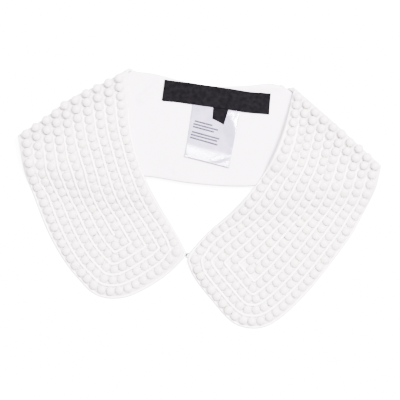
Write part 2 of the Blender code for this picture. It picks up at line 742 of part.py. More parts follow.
def eye_path():
    """One foot, an arm that rises to the bar, and half of the bar."""
    loop = foot((-EYE_FOOT, EYE_HALF + FOOT_RADIUS)) * np.array([-1.0, 1.0, 1.0])
    arm = [(EYE_FOOT - 2.5, EYE_HALF, WIRE_FLOOR), (1.6, EYE_HALF, BAR_HEIGHT)]
    corner = at_height(arc((HOOK_TIP + 0.6, EYE_HALF - 0.6), 0.6, np.pi / 2, np.pi, 4), BAR_HEIGHT)
    return mirrored_wire(np.vstack([loop, arm, corner]))


def placed_wire(path):
    """A wire's path turned and moved from the hook's frame to the collar's."""
    ahead = np.array([math.cos(HOOK_HEADING), math.sin(HOOK_HEADING)])
    aside = np.array([-ahead[1], ahead[0]])
    plan = np.array(CORNER) + np.outer(path[:, 0], ahead) + np.outer(path[:, 1], aside)
    return np.column_stack([plan, path[:, 2]])


def material(name):
    colour, roughness, metallic = FINISHES[name]
    made = bpy.data.materials.new(name)
    made.use_nodes = True
    shader = made.node_tree.nodes["Principled BSDF"]
    shader.inputs["Base Color"].default_value = (*colour, 1.0)
    shader.inputs["Roughness"].default_value = roughness
    shader.inputs["Metallic"].default_value = metallic
    return made


def centred(points):
    """Points in metres from the middle of the collar's plan."""
    return (np.asarray(points) - np.array([*PLAN_MIDDLE, 0.0])) * METRE


def add_object(collection, name, data, finish):
    data.materials.append(finish)
    made = bpy.data.objects.new(name, data)
    collection.objects.link(made)
    return made


def mesh_data(name, vertices, faces):
    data = bpy.data.meshes.new(name)
    data.from_pydata(centred(vertices).tolist(), [], faces)
    data.validate()
    return data


def add_sheet(collection, name, surface, thickness, finish):
    """A surface made a wall, which grows upward from it."""
    made = add_object(collection, name, mesh_data(name, *surface), finish)
    wall = made.modifiers.new("wall", "SOLIDIFY")
    wall.thickness = thickness * METRE
    wall.offset = 1.0
    wall.use_even_offset = True


def add_wire(collection, name, path, finish):
    data = bpy.data.curves.new(name, "CURVE")
    data.dimensions = "3D"
    data.bevel_depth = WIRE_RADIUS * METRE
    data.bevel_resolution = 1
    data.use_fill_caps = True
    spline = data.splines.new("POLY")
    spline.points.add(len(path) - 1)
    for point, place in zip(spline.points, centred(path)):
        point.co = (*place, 1.0)
    add_object(collection, name, data, finish)


def main():
    for old in list(bpy.data.objects):
        bpy.data.objects.remove(old, do_unlink=True)
    collection = bpy.data.collections.new("beaded_shirt_collar")
    bpy.context.scene.collection.children.link(collection)
    finishes = {name: material(name) for name in FINISHES}

    left, right = Front("left"), Front("right")
    back = Back(left, right)
    shapes = {"front_left": left.mesh(), "front_right": right.mesh(), "shell_back": back.shell()}
    for name, shape in shapes.items():
        add_object(collection, name, mesh_data(name, *shape), finishes["beads"])
    add_sheet(collection, "lining_back", lining_surface(back), LINING, finishes["lining"])
    care = label_surface(polygon(CARE_CORNERS, LABEL_STEP), care_rise)
    add_sheet(collection, "label_care", care, TAPE, finishes["satin"])
    brand = label_surface(brand_outline(), brand_rise)
    add_sheet(collection, "label_brand", brand, TAPE, finishes["black_tape"])
    size = label_surface(polygon(SIZE_CORNERS, LABEL_STEP), lambda plan: np.full(len(plan), TAPE + SEAM))
    add_sheet(collection, "label_size", size, TAPE, finishes["black_tape"])
    add_wire(collection, "hook", placed_wire(hook_path()), finishes["wire"])
    add_wire(collection, "eye", placed_wire(eye_path()), finishes["wire"])


if __name__ == "__main__":
    main()
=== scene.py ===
"""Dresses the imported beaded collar: cloth, beads, cords, lining, labels, hook and eye.

Lengths are millimetres and angles radians, and the meshes are made in metres.
X points to the right of the collar as it is seen from above, Y to the back neck and Z up.
"""

import math

import bpy
import numpy as np
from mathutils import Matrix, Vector
from mathutils.geometry import delaunay_2d_cdt


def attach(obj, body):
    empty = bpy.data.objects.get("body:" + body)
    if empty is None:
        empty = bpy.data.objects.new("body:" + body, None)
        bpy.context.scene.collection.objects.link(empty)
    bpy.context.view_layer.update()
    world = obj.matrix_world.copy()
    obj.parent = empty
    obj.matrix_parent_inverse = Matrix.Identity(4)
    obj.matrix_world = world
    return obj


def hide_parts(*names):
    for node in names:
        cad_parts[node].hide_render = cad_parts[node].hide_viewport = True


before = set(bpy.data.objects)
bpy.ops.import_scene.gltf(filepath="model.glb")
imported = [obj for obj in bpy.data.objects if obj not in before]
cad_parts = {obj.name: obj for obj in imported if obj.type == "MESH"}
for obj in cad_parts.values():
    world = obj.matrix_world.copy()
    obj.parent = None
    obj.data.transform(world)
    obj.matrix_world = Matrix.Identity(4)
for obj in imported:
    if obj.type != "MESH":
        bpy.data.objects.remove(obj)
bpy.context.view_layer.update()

METRE = 0.001
PLAN_MIDDLE = (-0.33, 0.27)  # the collar's middle, in the frame of the numbers below

# Cloth
WALL = 1.2  # outer cloth and lining of a front, as one wall
SHELL = 1.2  # outer cloth of the back
LINING = 1.0
TAPE = 0.45  # a label's thickness
SEAM = 0.3  # gap between neighbouring pieces
LABEL_GAP = 0.1  # between the lining and the labels, and from label to label
PADDING = 2.8  # of the fronts' cloth between their beads
PADDING_SLOPE = 2.5  # width of the padding's slope, which starts half as far from a front's edge
CREST_REACH = 22.0  # over which the padding fades towards the fold
ROLL_CORE = 0.9  # radius of the hollow in the roll at the fold
ROLL_CORE_EASE = 1.5  # over which the roll fills up at each end of its turn
ROUNDING = 0.35  # of a cloth's edges
RIM_RINGS = (0.85, 0.15)  # heights of the two rings that round a rim, as shares of the cloth's thickness
RIM_SHARE = 0.3  # how far in they lie, as a share of the rounding
CORNER_TURN = 0.8  # cosine of the turn that makes a corner of an outline
CORNER_ROUNDING = 3.0  # over which the rounding fades towards a corner

# Beads and cords
BEAD_HALF_WIDTH = 3.4
BEAD_RISE = 5.6  # top of a bead over the cloth
BEAD_PITCH = 6.6
BEAD_SEAT = 1.6  # how high in the padding the beads' undersides lie
BEAD_HOLE = 0.22  # radius and depth of a thread hole's mouth, as shares of the bead's half size
BEAD_HOLE_DEPTH = 0.2
BEAD_HOLE_TAPER = 0.75  # width of the hole's end to its mouth
BEAD_JITTER = 0.22  # of a bead's place
BEAD_TILT = 0.2  # of a bead's axis
BEAD_SIZES = (0.95, 1.02)
BEAD_SEED = 7
BEAD_FACES = (16, 10)  # round a bead and along it
BACK_BEAD_FACES = (12, 8)
CORD_RADIUS = 1.1
CORD_LIFT = 0.9  # of the cord's middle over the padded cloth
CORD_SINK = 2.1  # how far a cord sinks into the cloth towards the fold
CORD_SINK_LENGTH = 50.0
CORD_LAY = 3.2  # length of one turn of the cord's twist
CORD_LOBES = 0.14  # depth of the grooves between its strands, as a share of its radius
CORD_SIDES = 8
CORD_STEPS = (0.6, 0.25)  # on the flat and on the roll
BACK_CORD_STEP = 0.8
EDGE_CORD_RADIUS = 0.8  # of the finer cord round a front's edge
EDGE_CORD_INSET = 1.2
THREAD_RADIUS = 0.3
THREAD_SIDES = 6
ROWS = 5  # nested rows on each front
ROW_PITCH = 8.1
SPINE_END = 8.0  # from the end of the middle cord to the innermost row's turn
SPREAD_LENGTH = 45.0  # the rows spread evenly across the panel over this distance from the fold
ROW_SLANT = {"left": 0.48, "right": 0.44}  # of the rows to the fold's normal, as a tangent
EDGE_REACH = 60.0  # the edges run straight this far past the fold, to lay out the rows

# Heights of the layers where the fronts lie on the back
BEADS_TOP = BEAD_RISE
SHELL_TOP = BEADS_TOP + SHELL
LINING_BOTTOM = SHELL_TOP + SEAM
LINING_TOP = LINING_BOTTOM + LINING
FRONT_REST = LINING_TOP + SEAM

# Drape of the fronts
DROP_LENGTH = 30.0  # from the back's outer edge to where a front lies on the surface
DROP_START = 3.0
FOLD_LENGTH = 25.0  # from the fold to where a front lies on the back
CORNER = (-10.1, -42.2)  # the centre front, where the hook meets the eye
CORNER_LIFT = 3.1  # the corners lie on the hook and the eye
CORNER_FLAT = 4.0
CORNER_REACH = 14.0

# Where each front's cloth turns over: ends of the cloth's outermost line, the roll's middle radius there,
# and the middle, reach and height of the line's outward bow
FOLDS = {
    "left": {"outer": (-135.0, 48.8), "neck": (-55.1, 97.1), "radii": (2.0, 2.0), "bow": (47.0, 34.0, 3.0)},
    "right": {"outer": (134.1, 26.8), "neck": (66.8, 87.0), "radii": (2.0, 3.0), "bow": (45.0, 45.0, 0.4)},
}

# Outlines of the fronts from the fold: round the tip to the centre front, and back up the neck edge
TIP_EDGES = {
    "left": [
        (-135.9, 43.0), (-132.0, 20.0), (-126.0, 3.8), (-114.0, -26.3), (-102.0, -47.3),
        (-90.0, -62.3), (-80.5, -71.2), (-70.0, -74.9), (-56.3, -74.3), (-42.5, -68.6),
        (-25.5, -57.8), (-15.8, -48.8), (-11.5, -43.9),
    ],
    "right": [
        (134.6, 18.5), (132.6, 9.8), (124.5, -8.3), (114.8, -26.3), (102.0, -44.3),
        (80.3, -71.3), (61.5, -89.3), (50.5, -96.0), (39.0, -97.7), (25.5, -93.8),
        (8.3, -75.8), (-5.3, -57.8), (-9.8, -46.6),
    ],
}
NECK_EDGES = {
    "left": [
        (-10.3, -40.0), (-16.5, -28.0), (-30.8, -3.8), (-42.8, 20.3), (-50.6, 47.3),
        (-53.2, 74.5), (-53.4, 88.2),
    ],
    "right": [
        (-8.4, -40.8), (4.5, -26.3), (24.8, -8.3), (41.6, 10.5), (55.5, 33.8),
        (63.0, 53.3), (66.6, 66.8), (69.2, 77.5),
    ],
}

# Plain cloth outside the beads: share of the way along each edge above, and width
TIP_MARGINS = {
    "left": [(0.0, 2.4), (0.35, 2.3), (0.5, 1.3), (0.62, 1.7), (0.85, 3.1), (1.0, 2.4)],
    "right": [(0.0, 0.8), (0.3, 1.4), (0.6, 2.2), (0.8, 1.2), (1.0, 1.0)],
}
NECK_MARGINS = {
    "left": [(0.0, 0.6), (0.65, 0.6), (0.9, 2.6), (1.0, 3.4)],
    "right": [(0.0, 0.6), (1.0, 0.6)],
}

# How far past the middle of the fold each row has its bead, from the outer edge to the neck edge
FOLD_BEADS = {
    "left": (-0.1, 0.1, 0.1, 0.0, 0.3, -0.5, 0.1, 0.3, 0.2, -0.2),
    "right": (-0.8, 0.1, 0.3, -0.3, 0.1, -0.2, -0.3, -0.1, -0.2, -0.2),
}
CORD_LAST = 2.3  # angle round the roll where the cords end

# Edges of the back between the folds
BACK_NECK_EDGE = [
    (-48.0, 96.0), (-36.0, 94.5), (-12.0, 88.5), (12.0, 84.8), (36.0, 85.3), (54.0, 86.6),
]
BACK_OUTER_EDGE = [
    (-120.0, 39.0), (-105.0, 30.4), (-82.5, 21.8), (-60.0, 18.2), (-36.0, 16.2), (-12.0, 12.2),
    (12.0, 9.8), (33.0, 9.2), (52.0, 10.6), (75.0, 14.6), (105.0, 21.5),
]
BACK_ROW_END = 2.0  # from the seam to the last bead of a row under the back
BACK_CORD_END = 0.5
LINING_INSET = 0.6
CORNER_EASE = 20.0  # over which an outline's shift eases from its corner's to its side's

# Soft ridges of the lining and the fronts, which their solids have too: from, to, half width and height
LINING_RIDGES = [
    ((-31.0, 88.0), (-44.0, 75.0), 5.5, 1.5),
    ((-12.5, 32.0), (-19.0, 21.0), 3.0, 1.0),
    ((40.0, 84.0), (60.0, 84.0), 5.0, 1.2),
]
FRONT_RIDGES = [((66.0, 72.0), (56.0, 34.0), 20.0, 7.5)]
RIDGE_CLEAR = 1.4  # a front passes over the lining's ridges at this multiple of their height

# Finer creases, in the same terms: a trough's height is below zero
LINING_CREASES = [
    ((-31.5, 88.5), (-42.8, 81.8), 1.8, -0.7),
    ((-42.8, 81.8), (-49.5, 78.0), 1.8, -0.5),
    ((-13.5, 31.0), (-17.3, 24.0), 1.6, -0.6),
]
CARE_CREASES = [
    ((24.5, 58.0), (27.5, 46.0), 8.5, 1.2),
    ((10.0, 28.5), (26.0, 33.5), 3.0, -0.35),
]

# Labels, by their plan corners or middle line, and the flat length and width of each
BRAND_LINE = [(-27.6, 81.8), (-5.3, 78.8), (21.8, 74.9), (36.0, 72.6), (52.5, 71.2)]
BRAND_WIDTH = 15.8
BRAND_FLAT = (81.5, BRAND_WIDTH)
BRAND_FLAPS = [  # the brand label's ends, folded under it a little askew
    [(-27.9, 73.4), (-20.8, 72.7), (-20.0, 80.0), (-27.2, 81.0)],
    [(44.4, 70.0), (52.0, 69.5), (52.4, 79.2), (44.8, 79.9)],
]
BRAND_LIFT = 1.1  # over the sewn ends of the care label and the size tab
BRAND_LIFT_SPAN = (-6.5, 32.5)
BRAND_LIFT_SLOPE = 7.0
SIZE_CORNERS = [(9.3, 60.3), (17.9, 55.8), (22.6, 70.6), (10.1, 72.4)]
SIZE_FLAT = (12.6, 15.0)
CARE_CORNERS = [(-11.6, 32.0), (21.8, 23.4), (31.2, 72.0), (-5.0, 76.5)]
CARE_FLAT = (34.5, 52.0)
CARE_CURL = 2.0  # how far the care label's free end turns up
CARE_CURL_REACH = 10.0
CARE_CURL_POWER = 1.3  # of the curl's profile, from straight at 1 to curved at 2
CARE_RULES = [  # ends of the printed rules
    ((-3.9, 58.6), (9.3, 55.1)), ((-4.9, 56.5), (13.5, 51.6)), ((-5.2, 54.4), (10.5, 50.2)),
    ((-6.0, 50.6), (14.5, 45.0)), ((-6.8, 48.5), (12.8, 43.3)), ((-7.4, 46.4), (13.1, 40.5)),
]
RULE_WIDTH = 1.1
RULE_RISE = 0.06

# Steps of the meshes and of the lines that they are laid out from
CLOTH_STEP = 3.0
LINING_STEP = 1.5
LABEL_STEP = 1.2
ROLL_TURN = 0.25
LINE_STEP = 0.5
BACK_LINE_STEP = 1.0
DROP_LINE_STEP = 4.0  # of the edge that the fronts drop from
LOOP_SLACK = 0.02  # how much too near to a line its moved copy may come
SEARCH_STEP = 0.05  # of the line that beads are spaced out on
SEARCH_ROUNDS = 14
PITCH_RANGE = (0.9, 1.1)  # of an eased pitch, as shares of the row's own
CURVE_POINTS = 24  # between two points that a curve passes through
LINE_POINTS = 400  # on a line across the back
SEAM_POINTS = 60
INSIDE_ONLY = 1  # the triangulation's mode that keeps what is inside its loop
WELD = 1e-4  # how near two points of it count as one
WAVE_PITCH = math.pi / 10.0  # of a wave texture at scale 1

# Light and camera. Lights point at the collar, and have a place, a width and a power
LIGHTS = {
    "right": ((620.0, 380.0, 1700.0), 480.0, 19.0),
    "top": ((60.0, 700.0, 1650.0), 190.0, 5.5),
}
LIGHT_TINT = (1.0, 0.935, 0.97)
SKY_STRENGTH = 0.35
FLOOR_WIDTH = 4000.0
FLOOR_DROP = 0.2  # below the collar, clear of its lowest points
FLOOR_GLOW = 0.7
EXPOSURE = 1.85  # bright, as in the photograph, where the whites lose most of their contrast
CAMERA_HEIGHT = 1500.0
CAMERA_LENS = 179.0
CAMERA_PLACE = (0.33, -1.02)  # over the middle of the photograph


def blend(a, b, low, high, at):
    return ((high - at) * a + (at - low) * b) / (high - low)


def summed(steps):
    """Running total of the steps, from zero."""
    return np.concatenate([[0.0], np.cumsum(steps)])


def step_lengths(path):
    return np.linalg.norm(np.diff(path, axis=0), axis=1)


def smooth_curve(points, step):
    """Points every step along a centripetal Catmull-Rom curve through the given points."""
    points = np.asarray(points, float)
    padded = np.vstack([2 * points[0] - points[1], points, 2 * points[-1] - points[-2]])
    pieces = []
    for four in zip(padded, padded[1:], padded[2:], padded[3:]):
        knots = summed([math.sqrt(np.linalg.norm(q - p)) for p, q in zip(four, four[1:])])
        at = np.linspace(knots[1], knots[2], CURVE_POINTS, endpoint=False)[:, None]
        first = [blend(four[i], four[i + 1], knots[i], knots[i + 1], at) for i in range(3)]
        second = [blend(first[i], first[i + 1], knots[i], knots[i + 2], at) for i in range(2)]
        pieces.append(blend(second[0], second[1], knots[1], knots[2], at))
    return resampled(np.vstack(pieces + [points[-1:]]), step)


def lengths_along(path):
    """Distance in plan from the path's start to each of its points."""
    return summed(step_lengths(path[:, :2]))


def at_stations(path, stations, along=None):
    """Points this far along the path, by its length in plan or by another measure of its points."""
    along = lengths_along(path) if along is None else along
    return np.stack([np.interp(stations, along, column) for column in path.T], axis=1)


def at_shares(path, count):
    """This many points, evenly along the path."""
    return at_stations(path, np.linspace(0.0, lengths_along(path)[-1], count))


def resampled(path, step):
    """The path with points an even distance apart, as near to step as its length allows."""
    return at_shares(path, max(2, round(lengths_along(path)[-1] / step) + 1))


def ease(x):
    """0 to 1, level at both ends."""
    x = np.clip(x, 0.0, 1.0)
    return x * x * (3.0 - 2.0 * x)


def beyond(values, low, high):
    """How far the values lie outside the range from low to high."""
    return np.maximum(np.maximum(low - values, values - high), 0.0)


def unit(vectors):
    return vectors / np.linalg.norm(vectors, axis=-1, keepdims=True)


def headings(path):
    """Unit vectors along the path at each of its points."""
    return unit(np.gradient(path, axis=0))


def turned_left(vectors):
    """Plan vectors after a quarter turn to the left."""
    return np.stack([-vectors[..., 1], vectors[..., 0]], axis=-1)


def left_of(path):
    """Unit vectors to the left of the path at each of its points."""
    return turned_left(headings(path))


def distances(points, path):
    """From each point to the nearest place on the path."""
    start, span = path[:-1], np.diff(path, axis=0)
    offset = points[:, None, :] - start[None]
    share = np.clip((offset * span).sum(-1) / (span * span).sum(-1), 0.0, 1.0)
    return np.linalg.norm(offset - share[..., None] * span, axis=-1).min(axis=1)


def extended(path, length):
    """The path with a straight start of this length added, in the direction it has there."""
    heading = unit(path[0] - path[3])
    reach = np.arange(length, 0.0, -LINE_STEP)
    return np.vstack([path[0] + np.outer(reach, heading), path])


def marched(path, pitch):
    """The path's points that are each a straight pitch from the one before, and the steps to its end."""
    marks = [0]
    for i, point in enumerate(path):
        if math.dist(point, path[marks[-1]]) >= pitch:
            marks.append(i)
    return marks, len(marks) - 1 + math.dist(path[-1], path[marks[-1]]) / pitch


def evenly_spaced(path, pitch):
    """Points a straight pitch apart along the path, the pitch eased so that one falls on its end."""
    fine = resampled(path, SEARCH_STEP)
    steps = round(marched(fine, pitch)[1])
    low, high = PITCH_RANGE[0] * pitch, PITCH_RANGE[1] * pitch
    for _ in range(SEARCH_ROUNDS):
        middle = (low + high) / 2
        if marched(fine, middle)[1] > steps:
            low = middle
        else:
            high = middle
    marks = marched(fine, high)[0]
    return np.vstack([fine[marks[:steps]], fine[-1:]])


def between(a, b, excess_a, excess_b):
    """Where excess is zero on the way from a to b."""
    return a + (b - a) * excess_a / (excess_a - excess_b)


def trimmed(path, excess):
    """The middle stretch of the path, between the places where excess passes zero."""
    kept = np.flatnonzero(excess < 0)
    first, last = kept[0], kept[-1]
    pieces = [path[first : last + 1]]
    if first > 0:
        pieces.insert(0, between(path[first], path[first - 1], excess[first], excess[first - 1]))
    if last < len(path) - 1:
        pieces.append(between(path[last], path[last + 1], excess[last], excess[last + 1]))
    return np.vstack(pieces)


def inside(points, outline):
    """Which plan points lie inside the closed outline."""
    x, y = points[:, None, 0], points[:, None, 1]
    a, b = outline, np.roll(outline, -1, axis=0)
    spans = (a[:, 1] > y) != (b[:, 1] > y)
    rise = np.where(b[:, 1] == a[:, 1], 1.0, b[:, 1] - a[:, 1])
    crossing = a[:, 0] + (y - a[:, 1]) * (b[:, 0] - a[:, 0]) / rise
    return (spans & (x < crossing)).sum(axis=1) % 2 == 1


def closed(outline):
    return np.vstack([outline, outline[:1]])


def lattice(outline, step, clear):
    """Plan points on staggered lines inside the outline, this far clear of it."""
    low, high = outline.min(axis=0), outline.max(axis=0)
    lines = np.arange(low[1], high[1], step * math.sqrt(3) / 2)
    points = np.array([
        (x, y)
        for i, y in enumerate(lines)
        for x in np.arange(low[0] + (i % 2) * step / 2, high[0], step)
    ])
    points = points[inside(points, outline)]
    return points[distances(points, closed(outline)) > clear]


def area_of(outline):
    """Area inside the closed outline, below zero if it runs clockwise."""
    x, y = outline.T
    return (x * np.roll(y, -1) - np.roll(x, -1) * y).sum() / 2


def anticlockwise(outline):
    return outline if area_of(outline) > 0 else outline[::-1]


def triangles(plan, loop_count):
    """Triangles between plan points, inside the loop that the first of them make."""
    loop = [(i, (i + 1) % loop_count) for i in range(loop_count)]
    made = delaunay_2d_cdt([tuple(point) for point in plan], loop, [], INSIDE_ONLY, WELD)
    faces, sources = made[2], made[3]
    return [tuple(sources[i][0] for i in face) for face in faces]


def ridge_rise(plan, ridges):
    """Height of soft ridges at plan points."""
    rise = np.zeros(len(plan))
    for start, end, half_width, height in ridges:
        start, end = np.array(start), np.array(end)
        length = np.linalg.norm(end - start)
        along = (end - start) / length
        aside = (plan - start) @ turned_left(along)
        past = beyond((plan - start) @ along, 0.0, length)
        rise += height * (1.0 - ease(np.hypot(aside, past) / half_width))
    return rise


def lining_rise(plan):
    return ridge_rise(plan, LINING_RIDGES)


def front_rest(plan):
    """Height of a front's lining side away from its fold: on the back, and past the back on the surface."""
    edge = smooth_curve(BACK_OUTER_EDGE, DROP_LINE_STEP)
    below_edge = np.interp(plan[:, 0], edge[:, 0], edge[:, 1]) - plan[:, 1]
    resting = 1.0 - ease((below_edge - DROP_START) / DROP_LENGTH)
    from_corner = np.linalg.norm(plan - np.array(CORNER), axis=1)
    corner = 1.0 - ease((from_corner - CORNER_FLAT) / CORNER_REACH)
    ridges = RIDGE_CLEAR * lining_rise(plan) + ridge_rise(plan, FRONT_RIDGES)
    return (FRONT_REST + ridges) * resting + CORNER_LIFT * corner


def outward(along):
    """Unit vector across a fold and away from its panel, from the one along it."""
    return turned_left(along) * np.sign(along[0])


class Front:
    """One front panel. Its flat pattern lies in the plan, and what is past the fold wraps round the roll."""

    def __init__(self, side):
        fold = FOLDS[side]
        outer, neck = np.array(fold["outer"]), np.array(fold["neck"])
        out = outward(unit(neck - outer))
        self.side = side
        self.radii, self.bow = fold["radii"], fold["bow"]
        self.start = outer - out * (self.radii[0] + WALL / 2)
        end = neck - out * (self.radii[1] + WALL / 2)
        self.length = np.linalg.norm(end - self.start)
        self.along = (end - self.start) / self.length
        self.out = outward(self.along)
        self.inward = 1.0 if side == "left" else -1.0
        self.edge, margins = self.edge_and_margins()
        self.field = self.offset(self.edge, margins)

    def radius(self, t):
        return np.interp(t, (0.0, self.length), self.radii)

    def bowed(self, t):
        """How far the fold bows out from the straight line between its ends."""
        middle, reach, height = self.bow
        return height * (1.0 - ease(np.abs(t - middle) / reach))

    def to_fold(self, plan):
        """Place along the fold, and distance past the middle of its roll, of plan points."""
        away = plan - self.start
        t = away @ self.along
        return t, away @ self.out - self.bowed(t)

    def from_fold(self, t, s):
        past = s + self.bowed(t)
        return self.start + t[:, None] * self.along + past[:, None] * self.out

    def roll_height(self, t):
        return BEADS_TOP + SHELL / 2 + self.radius(t)

    def underside(self, plan):
        """Where points of the flat pattern lie on the panel's lining side."""
        t, s = self.to_fold(plan)
        radius = self.radius(t)
        inner = radius - WALL / 2
        angle = np.clip(s, 0.0, None) / radius
        turned = self.from_fold(t, np.where(s > 0, inner * np.sin(angle), s))
        folded = self.roll_height(t) + inner * np.cos(angle)
        rest = front_rest(plan)
        near = 1.0 - ease(-s / FOLD_LENGTH)
        height = np.where(s > 0, folded, rest + (folded - rest) * near)
        return np.column_stack([turned, height])

    def frames(self, plan, toward):
        """Underside, unit vector along the plan direction, and unit normal, at each plan point."""
        nudge = 0.01
        aside = turned_left(toward)
        ahead = self.underside(plan + nudge * toward) - self.underside(plan - nudge * toward)
        across = self.underside(plan + nudge * aside) - self.underside(plan - nudge * aside)
        return self.underside(plan), unit(ahead), unit(np.cross(ahead, across))

    def raised(self, plan, rise):
        """Places over points of the flat pattern, this far out from the lining side."""
        below, _, normal = self.frames(plan, np.tile([1.0, 0.0], (len(plan), 1)))
        return below + normal * rise

    def edge_and_margins(self):
        """The panel's edge in the flat pattern, carried on past the fold, and the plain margin along it."""
        self.tip = extended(smooth_curve(TIP_EDGES[self.side], LINE_STEP), EDGE_REACH)
        self.neck = extended(smooth_curve(NECK_EDGES[self.side], LINE_STEP)[::-1], EDGE_REACH)[::-1]
        along = lengths_along(self.tip)
        tip_share = (along - EDGE_REACH) / (along[-1] - EDGE_REACH)
        along = lengths_along(self.neck)
        neck_share = along / (along[-1] - EDGE_REACH)
        tip_margins = np.interp(tip_share, *np.transpose(TIP_MARGINS[self.side]))
        neck_margins = np.interp(neck_share, *np.transpose(NECK_MARGINS[self.side]))
        return np.vstack([self.tip, self.neck]), np.concatenate([tip_margins, neck_margins])

    def offset(self, path, distance):
        """The path moved towards the panel's middle, without the loops that tight turns leave."""
        distance = np.broadcast_to(distance, len(path))
        moved = path + left_of(path) * self.inward * distance[:, None]
        clear = distances(moved, path) > distance - LOOP_SLACK
        return resampled(moved[clear], LINE_STEP)

    def legs(self, path):
        """Places along the fold and past it of the path's points, and which are on its second leg."""
        t, s = self.to_fold(path)
        return t, s, np.arange(len(path)) > np.argmin(s)

    def leg_place(self, fraction, s):
        """Place along the fold of the leg that is this fraction of the way across the panel."""
        t, field_s, second = self.legs(self.field)
        outer = np.interp(0.0, field_s[~second][::-1], t[~second][::-1])
        neck = np.interp(0.0, field_s[second], t[second])
        return outer + fraction * (neck - outer) + ROW_SLANT[self.side] * s

    def spread(self, path, fraction):
        """The path with its legs spread evenly across the panel near the fold."""
        t, s, second = self.legs(path)
        target = self.leg_place(np.where(second, 1.0 - fraction, fraction), s)
        weight = 1.0 - ease(-s / SPREAD_LENGTH)
        return self.from_fold(t + weight * (target - t), s)

    def row(self, k):
        return self.spread(self.offset(self.field, (k + 0.5) * ROW_PITCH), (k + 0.5) / (2 * ROWS))

    def bead_rows(self):
        """Middles of the beads of each nested row, in the flat pattern."""
        rows = []
        for k in range(ROWS):
            path = self.row(k)
            _, s, second = self.legs(path)
            past = np.where(second, FOLD_BEADS[self.side][-1 - k], FOLD_BEADS[self.side][k])
            rows.append(evenly_spaced(trimmed(path, s - past), BEAD_PITCH))
        return rows

    def cord_lines(self):
        """Lines of the cords between the rows, and of the one up the panel's middle."""
        lines = []
        for k in range(1, ROWS):
            path = self.spread(self.offset(self.field, k * ROW_PITCH), k / (2 * ROWS))
            lines.append(self.up_to_turn(path, CORD_LAST))
        innermost = self.row(ROWS - 1)
        second = self.legs(innermost)[2]
        one = resampled(innermost[~second], LINE_STEP)
        other = resampled(innermost[second][::-1], LINE_STEP)
        count = min(len(one), len(other))
        spine = (at_shares(one, count) + at_shares(other, count)) / 2
        kept = lengths_along(spine)[-1] - lengths_along(spine) > SPINE_END
        lines.append(self.up_to_turn(spine[kept], CORD_LAST))
        return lines

    def up_to_turn(self, path, turn):
        """The path as far as this angle round the roll."""
        t, s = self.to_fold(path)
        return trimmed(path, s - turn * self.radius(t))

    def stepped(self, path, flat_step, roll_step):
        """Points along the path, at one step on the flat and another on the roll."""
        _, s = self.to_fold(path)
        along = summed(step_lengths(path) / np.where(s[1:] > 0, roll_step, flat_step))
        return at_stations(path, np.linspace(0.0, along[-1], round(along[-1]) + 1), along)

    def outline(self):
        """The panel's closed outline in the flat pattern, seam line included, anticlockwise."""
        roll_step = ROLL_TURN * self.radii[0]
        tip = self.stepped(self.up_to_turn(self.tip, np.pi), CLOTH_STEP, roll_step)
        neck = self.stepped(self.up_to_turn(self.neck, np.pi), CLOTH_STEP, roll_step)
        first, last = self.to_fold(np.vstack([neck[-1], tip[0]]))[0]
        t = np.linspace(first, last, round(abs(last - first) / CLOTH_STEP) + 1)[1:-1]
        return anticlockwise(np.vstack([tip, neck, self.from_fold(t, np.pi * self.radius(t))]))

    def seam(self):
        """The seam with the back in plan, from its outer end to its neck end."""
        ends = np.vstack([self.up_to_turn(self.tip, np.pi)[0], self.up_to_turn(self.neck, np.pi)[-1]])
        return self.from_fold(np.linspace(*self.to_fold(ends)[0], SEAM_POINTS), 0.0)

    def cloth(self):
        """Vertices and faces of the cloth."""
        loop = self.outline()
        flat = lattice(loop, CLOTH_STEP, CLOTH_STEP / 2)
        flat = flat[self.to_fold(flat)[1] < -CLOTH_STEP / 3]
        along = np.arange(-FOLD_LENGTH, self.length + FOLD_LENGTH, CLOTH_STEP)
        turns = np.arange(0.0, np.pi - ROLL_TURN / 2, ROLL_TURN)
        rolled = np.vstack([self.from_fold(along, turn * self.radius(along)) for turn in turns])
        rolled = rolled[inside(rolled, loop)]
        rolled = rolled[distances(rolled, closed(loop)) > CLOTH_STEP / 4]
        return rounded_wall(loop, np.vstack([flat, rolled]), self.padded, WALL)

    def swell(self, plan):
        """How far the cloth's outer side swells up between the beads."""
        past_crest = 1.0 - ease(-self.to_fold(plan)[1] / CREST_REACH)
        return PADDING * ease(distances(plan, self.edge) / PADDING_SLOPE - 0.5) * (1.0 - past_crest)

    def padded(self, plan, height):
        """Places in the cloth, this far up its wall before it swells. It also fills out inside the roll."""
        t, s = self.to_fold(plan)
        to_seam = np.pi * self.radius(t) - s
        fill = (self.radius(t) - ROLL_CORE) * ease(s / ROLL_CORE_EASE) * ease(to_seam / ROLL_CORE_EASE)
        share = height / WALL
        return self.raised(plan, (height + self.swell(plan) * share - fill * (1.0 - share))[:, None])


def rim_inward(loop):
    """Vectors into the loop at its points, of length 1 but shorter towards a corner."""
    ahead = unit(np.roll(loop, -1, axis=0) - loop)
    sharp = (ahead * np.roll(ahead, 1, axis=0)).sum(axis=1) < CORNER_TURN
    inward = turned_left(unit(ahead + np.roll(ahead, 1, axis=0)))
    from_corner = np.linalg.norm(loop[:, None] - loop[sharp][None], axis=-1).min(axis=1)
    return inward * np.clip(from_corner / CORNER_ROUNDING, 0.0, 1.0)[:, None]


def band(one, other, count):
    """Faces between two rings of count vertices each, which start at the vertices one and other."""
    return [(one + i, other + i, other + (i + 1) % count, one + (i + 1) % count) for i in range(count)]


